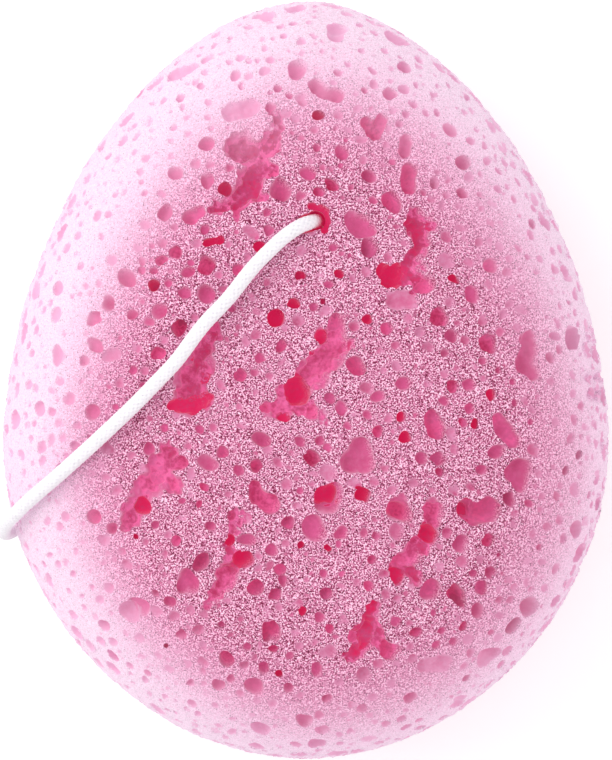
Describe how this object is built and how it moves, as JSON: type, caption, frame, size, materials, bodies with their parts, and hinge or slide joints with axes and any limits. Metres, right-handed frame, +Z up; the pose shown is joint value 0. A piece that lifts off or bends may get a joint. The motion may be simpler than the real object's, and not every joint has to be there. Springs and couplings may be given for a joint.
{
  "type": "bath sponge",
  "caption": "Egg-shaped pink foam bath sponge with large open pores and a white braided cord loop that runs through a bore, for washing and for hanging up to dry.",
  "frame": {"origin": "middle of the foam block's flat underside", "axes": "+Z up out of the front face, +Y towards the narrow tip, +X across the width, to the right in the picture"},
  "size_m": [0.1132, 0.1397, 0.0532],
  "materials": {
    "foam": "matte",
    "cord": "matte"
  },
  "bodies": {
    "sponge": {"foam_body": "foam", "cord_back_end": "cord", "cord_rim_run": "cord", "cord_front_far": "cord", "cord_front_near": "cord", "cord_bore_end": "cord"},
    "cord_strand": {"cord_front_middle": "cord"}
  },
  "joints": [
    {"name": "front_strand_lift", "type": "slide", "parent": "sponge", "child": "cord_strand", "axis": [0, 0, 1], "range_m": [0, 0.015], "deforming": ["cord_front_near", "cord_front_far"]}
  ]
}
